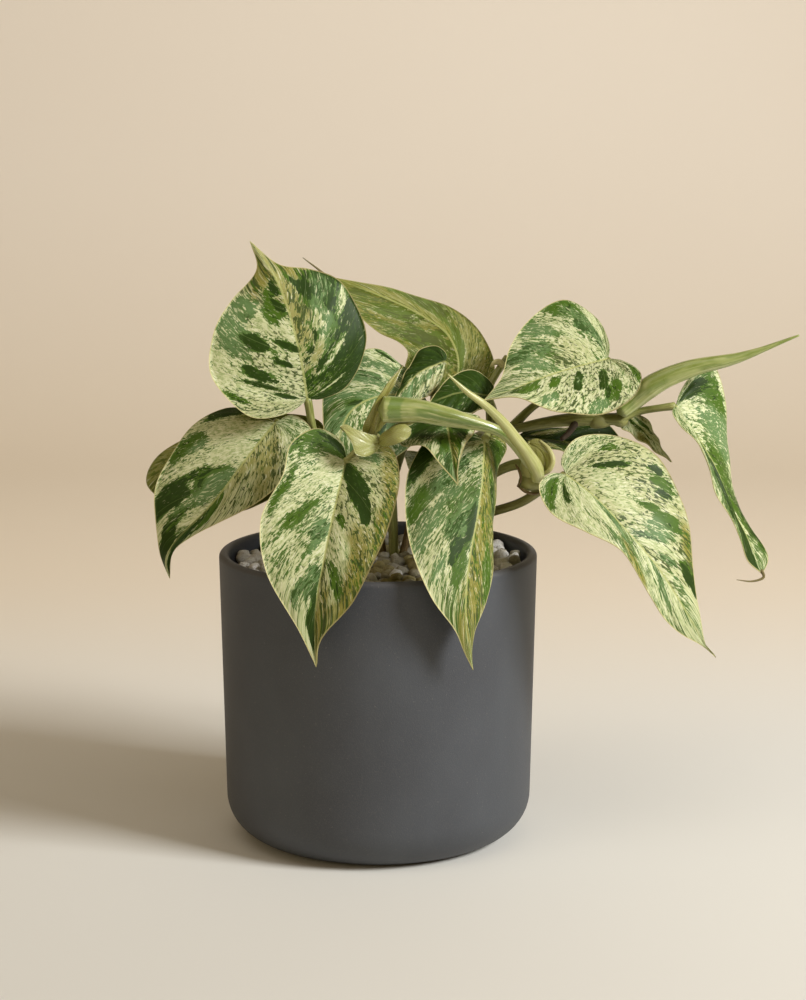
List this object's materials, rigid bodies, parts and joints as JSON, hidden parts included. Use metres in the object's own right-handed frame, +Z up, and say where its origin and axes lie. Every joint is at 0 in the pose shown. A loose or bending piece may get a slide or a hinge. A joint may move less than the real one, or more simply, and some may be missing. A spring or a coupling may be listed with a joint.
{
  "type": "potted variegated heartleaf plant",
  "caption": "Trailing house plant with marbled heart-shaped leaves on arching stems, rooted in soil under pumice gravel in a round matte charcoal pot with a thin rim.",
  "frame": {"origin": "middle of the pot's flat underside", "axes": "+Z up, -Y towards the front of the plant, +X to the right as it is seen from the front"},
  "size_m": [0.2653, 0.1556, 0.2442],
  "materials": {
    "charcoal": "matte",
    "soil": "matte",
    "pumice": "matte",
    "stem": "satin",
    "blade": "satin",
    "bud": "satin"
  },
  "bodies": {
    "root": {"pot": "charcoal", "soil": "soil", "gravel": "pumice", "vine_left": "stem", "vine_front": "stem", "vine_right": "stem", "leaf_upper_left": "blade", "leaf_top_back": "blade", "leaf_left": "blade", "leaf_left_behind": "blade", "leaf_front_left": "blade", "leaf_front_centre": "blade", "leaf_centre": "blade", "leaf_centre_folded": "blade", "leaf_centre_dark": "blade", "leaf_small_pointed": "blade", "leaf_upper_right": "blade", "leaf_lower_right": "blade", "leaf_far_right": "blade", "leaf_narrow_right": "blade", "leaf_under_vine": "blade", "leaf_back_left": "blade", "leaf_back_right": "blade", "leaf_unrolling": "bud", "spear_front": "bud", "spear_right": "bud"}
  },
  "joints": []
}
